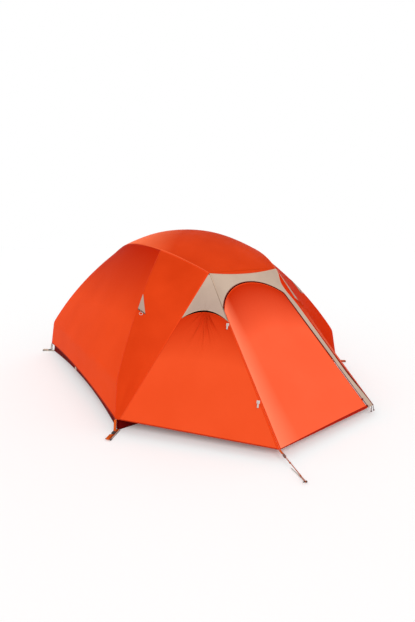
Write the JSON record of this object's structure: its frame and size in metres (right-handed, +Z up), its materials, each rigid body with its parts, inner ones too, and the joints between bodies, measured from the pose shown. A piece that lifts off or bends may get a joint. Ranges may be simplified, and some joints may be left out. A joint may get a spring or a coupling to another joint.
{
  "type": "dome tent with rain fly on poles",
  "caption": "Dome tent on crossed poles under a full rain fly, with a hooded front vestibule, zipped arch door, bathtub floor and staked corners.",
  "frame": {"origin": "On the ground under the middle of the floor, where the two main poles cross above.", "axes": "+Z up, the vestibule and its door face -Y, +X to the right of someone who looks at the rear panel from the vestibule."},
  "size_m": [2.844, 3.5624, 1.5081],
  "materials": {
    "fly_orange": "coated taffeta, satin",
    "fly_tan": "coated taffeta, satin",
    "patch_grey": "reinforced weave",
    "canopy_grey": "light mesh and taffeta",
    "floor_maroon": "heavy coated taffeta",
    "pole_tube": "anodised",
    "ferrule": "machined",
    "tip_metal": "machined",
    "shock_cord": "braided sleeve",
    "black_plastic": "moulded",
    "zip_dark": "coil zip",
    "pull_grey": "moulded",
    "toggle_grey": "moulded",
    "webbing_orange": "woven webbing",
    "webbing_pale": "woven webbing",
    "cord_orange": "braided cord",
    "tensioner_brown": "moulded",
    "grommet": "stamped",
    "stake_dark": "dark enamel"
  },
  "bodies": {
    "tent": {"main_pole_over": "pole_tube", "main_pole_under": "pole_tube", "brow_pole_left": "pole_tube", "brow_pole_right": "pole_tube", "pole_ferrules": "ferrule", "shock_cords": "shock_cord", "pole_tips": "tip_metal", "top_hub": "black_plastic", "brow_cross_clips": "black_plastic", "canopy_clips": "black_plastic", "bathtub_floor": "floor_maroon", "canopy_left": "canopy_grey", "canopy_right": "canopy_grey", "canopy_front": "canopy_grey", "canopy_rear": "canopy_grey", "canopy_roof": "canopy_grey", "fly_roof": "fly_orange", "fly_left_side": "fly_orange", "fly_right_side": "fly_orange", "gusset_front_left": "fly_orange", "gusset_front_right": "fly_orange", "gusset_rear_left": "fly_orange", "gusset_rear_right": "fly_orange", "vestibule_left": "fly_orange", "vestibule_right": "fly_orange", "vent_hood_left": "fly_tan", "vent_hood_right": "fly_tan", "brow_header": "fly_tan", "fly_rear": "fly_orange", "zip_chain": "zip_dark", "toggle_anchors": "toggle_grey", "guy_patches": "patch_grey", "guy_loops": "cord_orange", "corner_straps": "webbing_orange", "grommets": "grommet", "fly_corner_straps": "webbing_orange", "buckle_sockets": "black_plastic", "buckle_prongs": "black_plastic", "vestibule_tab": "webbing_pale", "guy_line": "cord_orange", "guy_knots": "cord_orange", "hem_loops": "webbing_pale"},
    "vestibule_door_body": {"vestibule_door": "fly_orange"},
    "inner_door_body": {"inner_door": "canopy_grey"},
    "zip_slider_upper_body": {"zip_slider_upper": "zip_dark"},
    "zip_slider_lower_body": {"zip_slider_lower": "zip_dark"},
    "zip_pull_upper_body": {"zip_pull_upper": "pull_grey"},
    "zip_pull_lower_body": {"zip_pull_lower": "pull_grey"},
    "toggle_upper_body": {"toggle_upper": "toggle_grey"},
    "toggle_lower_body": {"toggle_lower": "toggle_grey"},
    "line_tensioner_body": {"line_tensioner": "tensioner_brown"},
    "stake_vestibule_body": {"stake_vestibule": "stake_dark"},
    "stake_front_left_body": {"stake_front_left": "stake_dark"},
    "stake_front_right_body": {"stake_front_right": "stake_dark"},
    "stake_rear_left_body": {"stake_rear_left": "stake_dark"},
    "stake_rear_right_body": {"stake_rear_right": "stake_dark"}
  },
  "joints": [
    {"name": "door_hinge", "type": "hinge", "parent": "tent", "child": "vestibule_door_body", "pos_m": [-0.55268, -2.07138, 0.07145], "axis": [-0.1058, -0.696, -0.7102], "range_deg": [0, 110]},
    {"name": "inner_door_hinge", "type": "hinge", "parent": "tent", "child": "inner_door_body", "pos_m": [0, -1.1064, 0.18], "axis": [-1, 0, 0], "range_deg": [0, 70]},
    {"name": "slider_upper_slide", "type": "slide", "parent": "tent", "child": "zip_slider_upper_body", "axis": [-0.1305, 0.694, 0.7081], "range_m": [0, 0.85]},
    {"name": "slider_lower_slide", "type": "slide", "parent": "tent", "child": "zip_slider_lower_body", "axis": [-0.1305, 0.694, 0.7081], "range_m": [0, 0.85]},
    {"name": "pull_upper_hinge", "type": "hinge", "parent": "zip_slider_upper_body", "child": "zip_pull_upper_body", "pos_m": [0.45585, -2.02332, 0.12934], "axis": [-0.9914, -0.0914, -0.0932], "range_deg": [0, 150]},
    {"name": "pull_lower_hinge", "type": "hinge", "parent": "zip_slider_lower_body", "child": "zip_pull_lower_body", "pos_m": [0.46394, -2.06635, 0.08544], "axis": [-0.9914, -0.0914, -0.0932], "range_deg": [0, 150]},
    {"name": "toggle_upper_hinge", "type": "hinge", "parent": "tent", "child": "toggle_upper_body", "pos_m": [-0.46674, -1.3909, 0.76059], "axis": [-0.6516, 0.7586, 0], "range_deg": [0, 150]},
    {"name": "toggle_lower_hinge", "type": "hinge", "parent": "tent", "child": "toggle_lower_body", "pos_m": [-0.53424, -1.83497, 0.3075], "axis": [-0.6516, 0.7586, 0], "range_deg": [0, 150]},
    {"name": "tensioner_slide", "type": "slide", "parent": "tent", "child": "line_tensioner_body", "axis": [-0.1588, -0.9643, -0.2118], "range_m": [0, 0.02]},
    {"name": "stake_front_left_slide", "type": "slide", "parent": "tent", "child": "stake_front_left_body", "axis": [0.655, -0.7556, 0], "range_m": [0, 0.045]},
    {"name": "stake_front_right_slide", "type": "slide", "parent": "tent", "child": "stake_front_right_body", "axis": [0.655, 0.7556, 0], "range_m": [0, 0.045]},
    {"name": "stake_rear_left_slide", "type": "slide", "parent": "tent", "child": "stake_rear_left_body", "axis": [-0.655, -0.7556, 0], "range_m": [0, 0.045]},
    {"name": "stake_rear_right_slide", "type": "slide", "parent": "tent", "child": "stake_rear_right_body", "axis": [-0.655, 0.7556, 0], "range_m": [0, 0.045]},
    {"name": "stake_vestibule_slide", "type": "slide", "parent": "tent", "child": "stake_vestibule_body", "axis": [0.9867, -0.1625, 0], "range_m": [0, 0.035]}
  ],
  "couplings": [
    {"joint": "slider_lower_slide", "follows": "slider_upper_slide", "ratio": 1}
  ]
}
